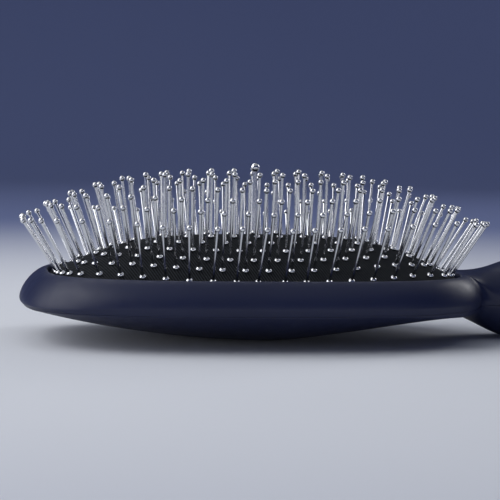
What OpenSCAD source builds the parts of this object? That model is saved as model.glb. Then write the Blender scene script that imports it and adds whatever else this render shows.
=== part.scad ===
// Cushioned detangling brush lying on its back, pins up.
// X runs along the brush from the tip of the head (-X) to the end of the handle (+X),
// Y runs across it, and Z points up. The origin is on the resting surface, under the
// middle of the head.

/* [Opening] */
// Length of the opening that the cushion fills
opening_l = 109.8; // [100:0.2:120]
// Width of the opening that the cushion fills
opening_w = 62.8; // [54:0.2:70]
// Height of the rim above the resting surface
rim_h = 18; // [16:0.1:21]
// Thickness of the lip around the opening
lip_t = 3; // [2.4:0.1:3.6]

/* [Head] */
// How far the tip of the head stands out past the opening
tip_flare = 7.3; // [6:0.1:10]
// How far each side of the head stands out past the opening
side_flare = 5.6; // [5:0.1:8]
// How far the shoulders stand out past the opening beside the neck
shoulder_flare = 5.5; // [5:0.1:8]
// How far the flat top of the rim runs on past the opening beside the neck
neck_flat = 2.3; // [2:0.1:2.5]
// Height of the widest line of the head
waist_h = 11.2; // [10.8:0.1:12.5]
// How much lower the widest line lies around the tip
tip_drop = 0.9; // [0:0.1:1]
// Height of the edge between the wall and the belly
edge_base_h = 9.2; // [8.5:0.1:9.2]
// How far the joint between the two shells lies above that edge
seam_rise = 0.3; // [0.1:0.1:0.4]
// How far the wall tucks in from its widest line to the edge of the belly
tuck = 1; // [0.5:0.1:1.5]
// Distance from the middle of the head to the deepest place of the belly
belly_x = 3.5; // [-5:0.5:8]
// Depth of the flat that the belly and the handle rest on
flat_depth = 0.3; // [0.2:0.05:0.6]
// Wall thickness of both shells
shell_t = 2.4; // [1.8:0.1:2.8]

/* [Handle] */
// Distance from the middle of the head to the narrowest place of the neck
neck_x = 59; // [57:0.5:64]
// Width of the neck
neck_w = 19; // [16:0.5:24]
// Height of the underside of the neck
neck_bottom = 7; // [5:0.1:7.2]
// Distance from the middle of the head to where the underside of the neck starts to swell
swell_x = 51.5; // [49:0.5:55]
// Distance from the opening to where the top of the neck starts to swell
top_swell_from = 3; // [2.5:0.5:6]
// Length over which the neck swells to the full depth of the handle
swell_l = 22; // [16:0.5:26]
// Length over which the head's section turns into the handle's
neck_blend_l = 14; // [10:0.5:20]
// Distance from the middle of the head to the widest place of the handle
bulge_x = 90; // [84:1:100]
// Greatest width of the handle
handle_w = 28; // [24:0.5:32]
// Height of the top of the handle
handle_top = 23.2; // [21:0.1:25]
// Distance from the middle of the head to the end of the handle
handle_end = 160; // [140:1:180]
// Width of the handle before its rounded end
end_w = 21; // [18:0.5:26]
// Height of the top of the handle before its rounded end
end_top = 20; // [18:0.1:22]
// Height of the underside of the handle before its rounded end
end_bottom = 2.6; // [1:0.1:4]
// Length of the rounded end of the handle
end_round = 12; // [8:0.5:16]

/* [Cushion] */
// Height of the crown above the edge of the cushion
crown_h = 11.7; // [8:0.1:13]
// How far the edge of the cushion lies below the rim
edge_drop = 2; // [1.5:0.1:2.6]
// Thickness of the rubber
rubber_t = 1.8; // [1.4:0.1:2.2]
// Width of the flange that is held under the lip
flange_w = 2.2; // [1.6:0.1:2.3]
// Gap between the cushion and the wall of the opening
cushion_gap = 0.4; // [0.2:0.05:0.6]
// Thickness of the woven backing under the rubber
backing_t = 0.6; // [0.4:0.1:1]

/* [Base plate] */
// Thickness of the base plate
plate_t = 1.6; // [1.2:0.1:1.8]
// Width of the upstanding wall of the base plate
plate_wall = 2; // [1.5:0.1:3]
// Height of the upstanding wall of the base plate
plate_wall_h = 2; // [1:0.1:2]
// Diameter of the breather hole in the base plate
breather_d = 3; // [2:0.1:4]
// Diameter of the posts that carry the base plate
post_d = 6; // [4:0.5:8]
// How far the foot of each post and peg flares
foot_flare = 1; // [0.5:0.1:1.5]

/* [Pegs] */
// Diameter of the locating pegs in the handle
peg_d = 4; // [3:0.1:5]
// Wall thickness of the sockets around the pegs
socket_t = 1.6; // [1.2:0.1:2]
// How far each peg reaches into its socket
peg_reach = 4; // [2:0.1:6]
// Thickness of the ribs around the sockets
rib_t = 1.2; // [1:0.1:1.6]
// Length of the ribs around the sockets
rib_l = 5; // [3:0.5:6]

/* [Pins] */
// Distance between neighbouring pins along a ring
pin_pitch = 6; // [5:0.1:8]
// Distance from the opening to the outermost ring of pins
ring_inset = 2.1; // [2:0.1:4]
// Length of a pin above the cushion
pin_l = 17.3; // [14:0.1:20]
// Diameter of a pin
pin_d = 0.75; // [0.6:0.05:1]
// Diameter of the ball at the end of a pin
ball_d = 1.5; // [1.1:0.05:1.6]
// Diameter of the bead at the foot of a pin
bead_d = 1.8; // [1.4:0.05:2.2]
// Height of the bead at the foot of a pin
bead_h = 0.7; // [0.5:0.05:1.4]
// Lean of the outermost pins in degrees
edge_lean = 33; // [15:1:40]
// Length of the centre pin above the cushion
centre_pin_l = 18.8; // [15:0.1:20]
// Diameter of the centre pin
centre_pin_d = 1.2; // [1:0.05:1.6]
// Diameter of the ball at the end of the centre pin
centre_ball_d = 2.5; // [1.8:0.05:2.6]

/* [Hidden] */

// Colours
navy = [0.13, 0.145, 0.225];
charcoal = [0.11, 0.12, 0.135];
cloth_grey = [0.3, 0.3, 0.32];
plate_black = [0.08, 0.08, 0.09];
steel = [0.8, 0.81, 0.83];

// One overrun for all cuts
over = 1;
// How far behind the tip the body's first section lies, and half the flat strip along its top
tip_in = 0.15;
strip = 0.5;
// Gap between parts that can be taken apart
fit_gap = 0.15;
// Gap between the flange of the cushion and the wall of its seat
seat_gap = 0.25;
// Gap between the foot of each pin and the rubber below it
pin_gap = 0.3;

// Exponents of the outlines and sections: 2 is an ellipse, more is squarer
opening_n = 3.2;
head_n = 3.1;
shoulder_n = 2.8;
rim_n = 1.55;
belly_n = 2.2;
grip_n = 2.15;
blend_n = 3;
// Where along the head its widest line starts to drop and over what length, as shares of its reach
drop_from_share = 0.57;
drop_fade_share = 0.38;
// Exponents of the crown across the cushion and along it
crown_across_n = 1.45;
crown_along_n = 3.3;
// Exponents of the underside of the head towards the tip and towards the neck
keel_tip_n = 1.8;
keel_tip_share = 0.85;
keel_neck_n = 1.35;
// Exponents of the outermost ring of pins and of the rings inside it
outer_ring_n = 2.8;
inner_ring_n = 2.4;
// How much closer together the pins stand around the ends than along the sides
crowd_share = 0.45;
// How much wider the ends of each ring are than its oval, and where along it they begin
corner_shares = [0.1, 0.08, 0, 0, 0, 0];
corner_from_share = 0.75;
corner_fade_share = 0.17;
// How quickly the lean of the rings falls towards the middle
lean_n = 1.15;
// Share of a bead's height that is straight
bead_straight_share = 0.6;

// Half lengths and half widths
open_a = opening_l / 2;
open_b = opening_w / 2;
tip_x = open_a + tip_flare;
shoulder_x = open_a + shoulder_flare;
head_b = open_b + side_flare;
end_x = handle_end - end_round;
seam_h = edge_base_h + seam_rise;

function smooth(t) = let (u = max(0, min(1, t))) u * u * (3 - 2 * u);
function oval(x, a, b, n) = abs(x) >= a ? 0 : b * pow(1 - pow(abs(x) / a, n), 1 / n);
// Point of an oval at an angle counted from the -Y side towards +X
function oval_point(a, b, n, angle) = [
    sign(sin(angle)) * a * pow(abs(sin(angle)), 2 / n),
    -sign(cos(angle)) * b * pow(abs(cos(angle)), 2 / n)
];
function oval_outline(a, b, n, count) =
    [for (i = [0:count - 1]) oval_point(a, b, n, (i + 0.5) * 360 / count)];

// Plan of the body
function grip_half(x) = x < bulge_x
    ? neck_w / 2 + (handle_w - neck_w) / 2 * smooth((x - neck_x) / (bulge_x - neck_x))
    : handle_w / 2 - (handle_w - end_w) / 2 * smooth((x - bulge_x) / (end_x - bulge_x));
function head_half(x) = oval(x, x < 0 ? tip_x : shoulder_x, head_b, x < 0 ? head_n : shoulder_n);
function body_half(x) = x < 0
    ? head_half(x)
    : pow(pow(head_half(x), blend_n) + pow(grip_half(x), blend_n), 1 / blend_n);
// Share of the body's section that is left in the rounded end of the handle
function end_share(x) = x <= end_x ? 1 : sqrt(max(0, 1 - pow((x - end_x) / end_round, 2)));
// Share of the handle's section in the body's section
function grip_share(x) = smooth((x - neck_x) / neck_blend_l + 0.5);

// Side view of the body
function widest_h(x) = waist_h - tip_drop * smooth((-x / tip_x - drop_from_share) / drop_fade_share);
function top_h(x) = x < -open_a
    ? widest_h(x) + (rim_h - widest_h(x)) * pow(
        max(0, 1 - pow((-x - open_a) / tip_flare, rim_n)), 1 / rim_n)
    : x < bulge_x
    ? rim_h + (handle_top - rim_h) * smooth((x - open_a - top_swell_from) / swell_l)
    : handle_top - (handle_top - end_top) * smooth((x - bulge_x) / (end_x - bulge_x));
function keel_h(x) = x < belly_x
    ? edge_base_h - (edge_base_h + flat_depth) * pow(
        max(0, 1 - pow(min(1, (belly_x - x) / (belly_x + tip_x - tuck)), keel_tip_n)), keel_tip_share)
    : x < bulge_x
    ? (neck_bottom + flat_depth) * (
        pow(min(1, (x - belly_x) / (swell_x - belly_x)), keel_neck_n) - smooth((x - swell_x) / swell_l))
        - flat_depth
    : end_bottom * smooth((x - bulge_x) / (end_x - bulge_x)) - flat_depth;
// Height of the edge between the wall and the belly
function edge_h(x) = edge_base_h - (edge_base_h - neck_bottom - tuck)
    * smooth((x - open_a / 2) / (neck_x - open_a / 2));
// Height of the belly at a place in plan
function belly_h(x, y) = edge_h(x) - (edge_h(x) - keel_h(x))
    * (1 - pow(min(1, abs(y) / (body_half(x) - tuck)), belly_n));
// Half width of the flat top of the rim, with the opening in it and a flange around that
function flat_half(x, flange) =
    oval(x, open_a + (x < 0 ? flange : max(flange, neck_flat)), open_b + flange, opening_n);
function middle_h(x) = (top_h(x) + keel_h(x)) / 2;
// Point of the rim at a share of the way from the opening out to the widest line of the head
function rim_point(x, share) = [
    max(strip, oval(x, open_a + tip_flare * share, open_b + (head_b - open_b) * share,
        opening_n + (head_n - opening_n) * share)),
    widest_h(x) + (rim_h - widest_h(x)) * pow(max(0, 1 - pow(share, rim_n)), 1 / rim_n)];

// Counts of points in one half of a section
upper_steps = 6;
lower_steps = 8;

// One half of the head's section, from the top to the bottom, drawn in by a wall and a lip
function head_section(x, wall, lip, flat) =
    let (half = max(wall, body_half(x)) - wall,
         top = top_h(x) - lip,
         waist = widest_h(x),
         edge = edge_h(x),
         keel = keel_h(x) + wall,
         ledge = max(strip, min(flat, half)),
         first_share = max(0, -x - open_a) / tip_flare)
    concat(
        [for (i = [0:upper_steps])
            let (angle = 90 * (1 - i / upper_steps), share = pow(cos(angle), 2 / rim_n))
            x < 0 && wall == 0
            ? rim_point(x, first_share + (1 - first_share) * share)
            : [ledge + (half - ledge) * share,
               min(waist, top) + max(0, top - waist) * pow(sin(angle), 2 / rim_n)]],
        [for (i = [0:lower_steps]) let (y = sin(90 * (1 - i / lower_steps)))
            [max(0, half - tuck) * y, edge - max(0, edge - keel) * (1 - pow(y, belly_n))]]);

// One half of the handle's section, with as many points as the head's
function grip_section(x, wall) =
    let (share = end_share(x),
         middle = middle_h(x),
         half = body_half(x) * share - wall,
         up = (top_h(x) - middle) * share - wall,
         down = (middle - keel_h(x)) * share - wall)
    concat(
        [for (i = [0:upper_steps]) let (angle = 90 * (1 - i / upper_steps))
            [max(strip, half * pow(cos(angle), 2 / grip_n)), middle + up * pow(sin(angle), 2 / grip_n)]],
        [for (i = [0:lower_steps]) let (angle = 90 * (i + 0.5) / (lower_steps + 0.5))
            [half * pow(cos(angle), 2 / grip_n), middle - down * pow(sin(angle), 2 / grip_n)]]);

function section(x, wall, lip, flat) =
    let (s = grip_share(x),
         head = head_section(x, wall, lip * (1 - s) + wall * s, flat),
         grip = grip_section(x, wall),
         half = s >= 1 ? grip : [for (i = [0:len(head) - 1]) head[i] * (1 - s) + grip[i] * s])
    concat(half, [for (i = [len(half) - 2:-1:0]) [-half[i][0], half[i][1]]]);

// Places along the body where its sections are taken
tip_stations = 6;
head_stations = 22;
neck_stations = 12;
handle_stations = 12;
end_stations = 6;
// Angle on the rounded end of the handle at which its last section lies
last_angle = 88;
function stations(first, last) = concat(
    [for (i = [0:tip_stations]) first - (first + open_a) * (1 - cos(90 * i / tip_stations))],
    [for (i = [1:head_stations]) -open_a * cos(180 * i / head_stations)],
    [for (i = [1:neck_stations]) open_a + (swell_x + swell_l - open_a) * i / neck_stations],
    [for (i = [1:handle_stations])
        swell_x + swell_l + (end_x - swell_x - swell_l) * i / handle_stations],
    [for (i = [1:end_stations]) end_x + (last - end_x) * sin(last_angle * i / end_stations)]);

// The body as one lofted solid, drawn in by a wall and a lip, with its first and last points
module body(first, last, wall, lip, flange, first_point, last_point) {
    ring_skin(
        first_point,
        [for (x = stations(first, last))
            [for (p = section(x, wall, lip, flat_half(x, flange)))
                [x, p[0], p[1]]]],
        last_point);
}

module outer_body() {
    body(tip_in - tip_x, handle_end, 0, 0, 0,
        [-tip_x, 0, widest_h(-tip_x)], [handle_end, 0, middle_h(handle_end)]);
}

// Seam between the shells
module above_seam() {
    translate([-tip_x - over, -head_b - over, seam_h])
        cube([tip_x + handle_end + 2 * over, 2 * (head_b + over), handle_top]);
}

module below_seam() {
    translate([-tip_x - over, -head_b - over, 0])
        cube([tip_x + handle_end + 2 * over, 2 * (head_b + over), seam_h]);
}

module cavity() {
    first = shell_t - tip_x;
    last = handle_end - shell_t;
    body(first, last, shell_t, lip_t, flange_w + fit_gap,
        [first, 0, (widest_h(first) + edge_base_h) / 2], [last, 0, middle_h(last)]);
}

// Places of the locating pegs along the handle, as shares of its straight part
peg_shares = [0.1, 0.5, 0.92];
function peg_x(share) = swell_x + swell_l + (end_x - swell_x - swell_l) * share;

// Places of the posts under the base plate, as shares of the opening's half length and half width
post_shares = [[-0.78, 0], [-0.4, -0.58], [-0.4, 0.58], [0.4, -0.58], [0.4, 0.58], [0.8, 0]];

// Levels of what is stacked under the lip
lip_h = rim_h - lip_t;
plate_top_h = lip_h - rubber_t;
floor_top_h = plate_top_h - plate_wall_h;
floor_h = floor_top_h - plate_t;

// Tapered rib from the wall of a socket outwards
module rib(height) {
    hull() {
        cylinder(h = height, d = rib_t, $fn = 12);
        translate([rib_l, 0, height - rib_t])
            cylinder(h = rib_t, d = rib_t, $fn = 12);
    }
}

module sockets() {
    for (share = peg_shares) {
        x = peg_x(share);
        height = top_h(x) - seam_h - fit_gap;
        translate([x, 0, seam_h + fit_gap])
            difference() {
                union() {
                    cylinder(h = height, d = peg_d + 2 * (fit_gap + socket_t), $fn = 24);
                    for (angle = [0:90:270])
                        rotate([0, 0, angle])
                            translate([peg_d / 2 + fit_gap + socket_t / 2, 0, 0])
                                rib(height);
                }
                translate([0, 0, -over])
                    cylinder(h = peg_reach + over, d = peg_d + 2 * fit_gap, $fn = 24);
            }
    }
}

// Room under the lip for the flange of the cushion and the base plate
module flange_seat() {
    seat_w = flange_w + seat_gap;
    translate([0, 0, floor_h - over])
        linear_extrude(lip_h - floor_h + over)
            polygon(oval_outline(open_a + seat_w, open_b + seat_w, opening_n, rim_points));
}

module front_shell() color(navy) {
    difference() {
        intersection() {
            outer_body();
            above_seam();
        }
        difference() {
            cavity();
            sockets();
        }
        translate([0, 0, lip_h - over])
            linear_extrude(handle_top)
                polygon(oval_outline(open_a, open_b, opening_n, rim_points));
        flange_seat();
    }
}

// Round post on a wider foot
module post(from, to, width) {
    translate([0, 0, from]) {
        cylinder(h = to - from, d = width, $fn = 24);
        hull() {
            cylinder(h = foot_flare, d = width + 2 * foot_flare, $fn = 24);
            cylinder(h = 2 * foot_flare, d = width, $fn = 24);
        }
    }
}

module back_shell() color(navy) {
    difference() {
        intersection() {
            outer_body();
            below_seam();
        }
        difference() {
            cavity();
            for (share = post_shares)
                translate([share[0] * open_a, share[1] * open_b, 0])
                    post(belly_h(share[0] * open_a, share[1] * open_b), floor_h, post_d);
        }
    }
    for (share = post_shares)
        translate([share[0] * open_a, share[1] * open_b, seam_h - over])
            cylinder(h = floor_h - seam_h + over, d = post_d, $fn = 24);
    for (share = peg_shares)
        translate([peg_x(share), 0, 0])
            post(keel_h(peg_x(share)) + shell_t / 2, seam_h + peg_reach - fit_gap, peg_d);
}

// Dish that clamps the flange of the cushion and closes the air chamber
module base_plate() color(plate_black) {
    rim_a = open_a + flange_w - fit_gap;
    rim_b = open_b + flange_w - fit_gap;
    difference() {
        translate([0, 0, floor_h])
            linear_extrude(plate_top_h - floor_h)
                polygon(oval_outline(rim_a, rim_b, opening_n, rim_points));
        translate([0, 0, floor_top_h])
            linear_extrude(plate_wall_h + over)
                polygon(oval_outline(rim_a - plate_wall, rim_b - plate_wall, opening_n, rim_points));
        translate([0, 0, floor_h - over])
            cylinder(h = plate_t + 2 * over, d = breather_d, $fn = 48);
    }
}

// Points around the rim and around the cushion
rim_points = 72;
cushion_points = 56;
backing_points = 40;

// Height of the rubber at a place in plan
function dome_h(x, y) = rim_h - edge_drop + crown_h
    * max(0, 1 - pow(abs(y) / open_b, crown_across_n))
    * max(0, 1 - pow(abs(x) / open_a, crown_along_n));

// Ring of points on an oval, drawn in from the opening and taken at a share of its size
function level_ring(inset, level, count) =
    [for (p = oval_outline(open_a - inset, open_b - inset, opening_n, count)) [p[0], p[1], level]];
function dome_ring(share, inset, depth, count) =
    [for (p = oval_outline(share * (open_a - inset), share * (open_b - inset), opening_n, count))
        [p[0], p[1], dome_h(p[0], p[1]) - depth]];

// Closed skin through rings of points, from the first pole to the last
module ring_skin(first, rings, last) {
    count = len(rings[0]);
    points = concat([first], [for (ring = rings) each ring], [last]);
    end = len(points) - 1;
    polyhedron(points, concat(
        [for (i = [0:count - 1]) [0, 1 + (i + 1) % count, 1 + i]],
        [for (r = [0:len(rings) - 2], i = [0:count - 1])
            let (a = 1 + r * count + i, b = 1 + r * count + (i + 1) % count) each
            [[a, b, b + count], [a, b + count, a + count]]],
        [for (i = [0:count - 1])
            let (a = end - count + i, b = end - count + (i + 1) % count) [a, b, end]]));
}

// Shares of the opening at which the rings of the rubber lie
outer_shares = [0.12, 0.28, 0.44, 0.59, 0.72, 0.83, 0.91, 0.965];
inner_shares = [0.95, 0.83, 0.68, 0.5, 0.32, 0.14];
backing_shares = [0.16, 0.42, 0.68, 0.88];

module cushion() color(charcoal) {
    side = cushion_gap;
    inside = cushion_gap + rubber_t;
    ring_skin([0, 0, dome_h(0, 0)], concat(
        [for (share = outer_shares) dome_ring(share, side, 0, cushion_points)],
        [level_ring(side, rim_h - edge_drop, cushion_points),
         level_ring(side, lip_h, cushion_points),
         level_ring(-flange_w, lip_h, cushion_points),
         level_ring(-flange_w, plate_top_h, cushion_points),
         level_ring(inside, plate_top_h, cushion_points)],
        [for (share = inner_shares) dome_ring(share, inside, rubber_t, cushion_points)]),
        [0, 0, dome_h(0, 0) - rubber_t]);
}

module pad_backing() color(cloth_grey) {
    side = cushion_gap + rubber_t + fit_gap;
    top = rubber_t + fit_gap;
    ring_skin([0, 0, dome_h(0, 0) - top], concat(
        [for (share = backing_shares) dome_ring(share, side, top, backing_points)],
        [for (i = [len(backing_shares) - 1:-1:0])
            dome_ring(backing_shares[i], side, top + backing_t, backing_points)]),
        [0, 0, dome_h(0, 0) - top - backing_t]);
}

// Rings of pins, counted from the outermost, and the row that they close on
ring_count = 6;
ring_steps = 180;
ring_step = (open_b - ring_inset) / ring_count;
function ring_a(ring) = open_a - ring_inset - (ring - 1) * ring_step;
function ring_b(ring) = open_b - ring_inset - (ring - 1) * ring_step;
function ring_n(ring) = ring == 1 ? outer_ring_n : inner_ring_n;
function ring_point(ring, angle) =
    let (p = oval_point(ring_a(ring), ring_b(ring), ring_n(ring), angle),
         wide = smooth((abs(p[0]) / ring_a(ring) - corner_from_share) / corner_fade_share))
    [p[0], p[1] * (1 + corner_shares[ring - 1] * wide)];

// Length of one step around a ring, stretched where it runs across the brush
function crowded(step) = norm(step) * (1 + crowd_share * pow(step[1] / norm(step), 2));

// Stretched distance walked around a ring against the angle on its oval
function ring_walk(ring) =
    let (p = [for (i = [0:ring_steps]) ring_point(ring, i * 360 / ring_steps)])
    [for (i = 0, s = 0; i <= ring_steps;
        s = s + (i < ring_steps ? crowded(p[i + 1] - p[i]) : 0), i = i + 1) [s, i * 360 / ring_steps]];

// Pins of one ring, each as its place and its outward direction in plan
function ring_pins(ring) =
    let (walk = ring_walk(ring),
         length = walk[ring_steps][0],
         count = 2 * round(length / pin_pitch / 2),
         a = ring_a(ring),
         b = ring_b(ring),
         n = ring_n(ring))
    [for (i = [0:count - 1])
        let (s = (i + (ring % 2 == 1 ? 0.5 : 0)) * length / count,
             p = ring_point(ring, lookup(s, walk)),
             out = [sign(p[0]) * pow(abs(p[0]) / a, n - 1) / a,
                    sign(p[1]) * pow(abs(p[1]) / b, n - 1) / b])
        [p, out / norm(out)]];

// Angles from the X axis above which a pin stands in a side row and below which in an end row
side_from = 62;
end_below = 30;
side_or_end = 66;
function group_of(pin, has_corners) =
    let (angle = atan2(abs(pin[1][1]), abs(pin[1][0])),
         side = pin[0][1] < 0 ? "right" : "left",
         end = pin[1][0] < 0 ? "tip" : "neck")
    has_corners
        ? (angle > side_from ? side : angle < end_below ? end : "corners")
        : (angle > side_or_end ? side : "ends");

module pin(length, width, ball) {
    straight = bead_h * bead_straight_share;
    cylinder(h = straight, d = bead_d, $fn = 32);
    translate([0, 0, straight])
        cylinder(h = bead_h - straight, d1 = bead_d, d2 = (bead_d + width) / 2, $fn = 32);
    cylinder(h = length - ball / 2, d = width, $fn = 32);
    translate([0, 0, length - ball / 2])
        sphere(d = ball, $fn = 32);
}

// Rings with corners of their own are the outer ones
corner_rings = 4;
module ring_group(ring, group) {
    lean = edge_lean * pow((ring_count - ring + 1) / ring_count, lean_n);
    for (p = ring_pins(ring))
        if (group_of(p, ring <= corner_rings) == group)
            translate([p[0][0], p[0][1], dome_h(p[0][0], p[0][1]) + pin_gap])
                rotate([0, lean, atan2(p[1][1], p[1][0])])
                    pin(pin_l, pin_d, ball_d);
}

module pins_ring1_corners() color(steel) ring_group(1, "corners");
module pins_ring1_left() color(steel) ring_group(1, "left");
module pins_ring1_right() color(steel) ring_group(1, "right");
module pins_ring1_tip() color(steel) ring_group(1, "tip");
module pins_ring1_neck() color(steel) ring_group(1, "neck");
module pins_ring2_corners() color(steel) ring_group(2, "corners");
module pins_ring2_left() color(steel) ring_group(2, "left");
module pins_ring2_right() color(steel) ring_group(2, "right");
module pins_ring2_tip() color(steel) ring_group(2, "tip");
module pins_ring2_neck() color(steel) ring_group(2, "neck");
module pins_ring3_corners() color(steel) ring_group(3, "corners");
module pins_ring3_left() color(steel) ring_group(3, "left");
module pins_ring3_right() color(steel) ring_group(3, "right");
module pins_ring3_tip() color(steel) ring_group(3, "tip");
module pins_ring3_neck() color(steel) ring_group(3, "neck");
module pins_ring4_corners() color(steel) ring_group(4, "corners");
module pins_ring4_left() color(steel) ring_group(4, "left");
module pins_ring4_right() color(steel) ring_group(4, "right");
module pins_ring4_tip() color(steel) ring_group(4, "tip");
module pins_ring4_neck() color(steel) ring_group(4, "neck");
module pins_ring5_ends() color(steel) ring_group(5, "ends");
module pins_ring5_left() color(steel) ring_group(5, "left");
module pins_ring5_right() color(steel) ring_group(5, "right");
module pins_ring6_ends() color(steel) ring_group(6, "ends");
module pins_ring6_left() color(steel) ring_group(6, "left");
module pins_ring6_right() color(steel) ring_group(6, "right");

module centre_pin() color(steel) {
    translate([0, 0, dome_h(0, 0) + pin_gap])
        pin(centre_pin_l, centre_pin_d, centre_ball_d);
}

module pins_centre_row() color(steel) {
    reach = floor(ring_a(ring_count) / pin_pitch - 0.5);
    for (i = [-reach:reach])
        if (i != 0)
            translate([i * pin_pitch, 0, dome_h(i * pin_pitch, 0) + pin_gap])
                pin(pin_l, pin_d, ball_d);
}

front_shell();
back_shell();
base_plate();
cushion();
pad_backing();
pins_ring1_corners();
pins_ring1_left();
pins_ring1_right();
pins_ring1_tip();
pins_ring1_neck();
pins_ring2_corners();
pins_ring2_left();
pins_ring2_right();
pins_ring2_tip();
pins_ring2_neck();
pins_ring3_corners();
pins_ring3_left();
pins_ring3_right();
pins_ring3_tip();
pins_ring3_neck();
pins_ring4_corners();
pins_ring4_left();
pins_ring4_right();
pins_ring4_tip();
pins_ring4_neck();
pins_ring5_ends();
pins_ring5_left();
pins_ring5_right();
pins_ring6_ends();
pins_ring6_left();
pins_ring6_right();
centre_pin();
pins_centre_row();
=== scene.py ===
import math

import bmesh
import bpy
import numpy as np
from mathutils import Matrix, Vector


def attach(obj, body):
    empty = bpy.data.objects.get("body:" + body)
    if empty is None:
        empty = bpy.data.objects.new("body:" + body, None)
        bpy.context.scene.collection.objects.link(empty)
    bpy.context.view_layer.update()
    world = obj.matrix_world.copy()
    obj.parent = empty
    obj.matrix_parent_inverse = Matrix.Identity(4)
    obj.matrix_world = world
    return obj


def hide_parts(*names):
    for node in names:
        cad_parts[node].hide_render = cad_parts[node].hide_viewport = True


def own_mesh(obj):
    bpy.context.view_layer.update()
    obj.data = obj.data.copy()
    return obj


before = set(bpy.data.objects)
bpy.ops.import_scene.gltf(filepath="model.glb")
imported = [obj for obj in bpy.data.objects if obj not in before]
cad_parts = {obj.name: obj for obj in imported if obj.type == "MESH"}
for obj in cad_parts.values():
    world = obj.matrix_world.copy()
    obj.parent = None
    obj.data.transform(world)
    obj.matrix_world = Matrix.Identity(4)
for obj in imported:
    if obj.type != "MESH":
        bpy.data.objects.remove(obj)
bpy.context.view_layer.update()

# Sizes are in millimetres, as the part's own are, and new_mesh() turns them into metres.
MM = 0.001

# Opening: half its length, half its width and the exponent of its oval
OPEN_A, OPEN_B, OPEN_N = 54.9, 31.4, 3.2
# Heights of the rim, of the lip's underside and of the seam between the shells
RIM_H, LIP_H, SEAM_H = 18.0, 15.0, 9.5
# Head: reach of its tip and of its shoulders, half its width, and the exponents of both ovals
TIP_X, SHOULDER_X, HEAD_B = 62.2, 60.4, 37.0
HEAD_N, SHOULDER_N = 3.1, 2.8
# Exponents of the rim's profile, the belly, the handle's section and the blend at the neck
RIM_N, BELLY_N, GRIP_N, BLEND_N = 1.55, 2.2, 2.15, 3.0
# Heights of the head's widest line and of the edge of its belly, and how far that edge is tucked in
WAIST_H, EDGE_H, TUCK = 11.2, 9.2, 1.0
# The widest line drops around the tip, from one share of the tip's reach on and over another
TIP_DROP, DROP_FROM_SHARE, DROP_FADE_SHARE = 0.9, 0.57, 0.38
# Deepest place of the belly, depth of the flat there, and exponents of the line that runs
# from it to the tip and to the neck
BELLY_X, FLAT_DEPTH = 3.5, 0.3
KEEL_TIP_N, KEEL_TIP_SHARE, KEEL_NECK_N = 1.8, 0.85, 1.3
# Neck: its place, its width, the height of its underside and the length that turns the
# section of the head into that of the handle, whose own grids start where that is done
NECK_X, NECK_W, NECK_BOTTOM, NECK_BLEND_L = 59.0, 19.0, 7.0, 14.0
JOIN_X = NECK_X + NECK_BLEND_L / 2
# Where the handle starts to swell, below and on top, and over what length
SWELL_X, TOP_SWELL_X, SWELL_L = 51.5, 57.9, 22.0
# Widest place of the handle, and its width and its top there
BULGE_X, HANDLE_W, HANDLE_TOP = 90.0, 28.0, 23.2
# End of the handle: place, rounding, width, top and underside
HANDLE_END, END_ROUND, END_W, END_TOP, END_BOTTOM = 160.0, 12.0, 21.0, 20.0, 2.6
END_X = HANDLE_END - END_ROUND
# Distance between the outer and the inner skins, and radii of the mouth and of the belly's edge
SHELL_T, RIM_R, EDGE_R = 2.0, 0.45, 0.7
# Crown of the pad: drop of its edge under the rim, rise, and exponents across and along
EDGE_DROP, CROWN_H, CROWN_ACROSS_N, CROWN_ALONG_N = 2.0, 11.7, 1.45, 3.3

# Smaller than any size of the brush
TINY = 1e-7


def smooth(t):
    """Eases from 0 to 1 as t does."""
    u = np.clip(t, 0.0, 1.0)
    return u * u * (3 - 2 * u)


def power(x, n):
    return np.maximum(x, 0.0) ** n


def unit(rows):
    """Each row as a vector of length 1."""
    return rows / np.linalg.norm(rows, axis=1)[:, None]


def turns(count):
    """Angles once around, without the last one."""
    return np.linspace(0, 2 * math.pi, count + 1)[:-1]


def level(points, z):
    """Points in plan with a height, or with one each."""
    return np.column_stack([points, np.broadcast_to(z, len(points))])


def oval_half(x, a, b, n):
    return b * power(1 - power(np.abs(x) / a, n), 1 / n)


def oval_point(a, b, n, angle):
    """Points of an oval at angles counted from the -Y side towards +X."""
    s, c = np.sin(angle), np.cos(angle)
    return np.stack([np.sign(s) * a * np.abs(s) ** (2 / n), -np.sign(c) * b * np.abs(c) ** (2 / n)], -1)


def oval_out(points, a, b, n=OPEN_N):
    """Outward directions in plan at points of an oval."""
    out = np.stack([np.sign(points[:, k]) * (np.abs(points[:, k]) / s) ** (n - 1) / s
                    for k, s in ((0, a), (1, b))], -1)
    return unit(out)


def walk(points):
    """Distance walked along a line of points."""
    return np.concatenate([[0], np.cumsum(np.linalg.norm(np.diff(points, axis=0), axis=1))])


def resample(points, count):
    """The same line with count + 1 points at equal steps."""
    s = walk(points)
    wanted = np.linspace(0, s[-1], count + 1)
    return np.stack([np.interp(wanted, s, points[:, k]) for k in range(points.shape[1])], -1)


# Lines of the body along its length
def grip_half(x):
    """Half width of the handle."""
    near = NECK_W / 2 + (HANDLE_W - NECK_W) / 2 * smooth((x - NECK_X) / (BULGE_X - NECK_X))
    far = HANDLE_W / 2 - (HANDLE_W - END_W) / 2 * smooth((x - BULGE_X) / (END_X - BULGE_X))
    return np.where(x < BULGE_X, near, far)


def body_half(x):
    """Half width of head and handle, with a crisp corner between shoulder and neck."""
    x = np.asarray(x, float)
    tip = oval_half(x, TIP_X, HEAD_B, HEAD_N)
    shoulder = oval_half(x, SHOULDER_X, HEAD_B, SHOULDER_N)
    return np.where(x < 0, tip, (shoulder**BLEND_N + grip_half(x) ** BLEND_N) ** (1 / BLEND_N))


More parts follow.
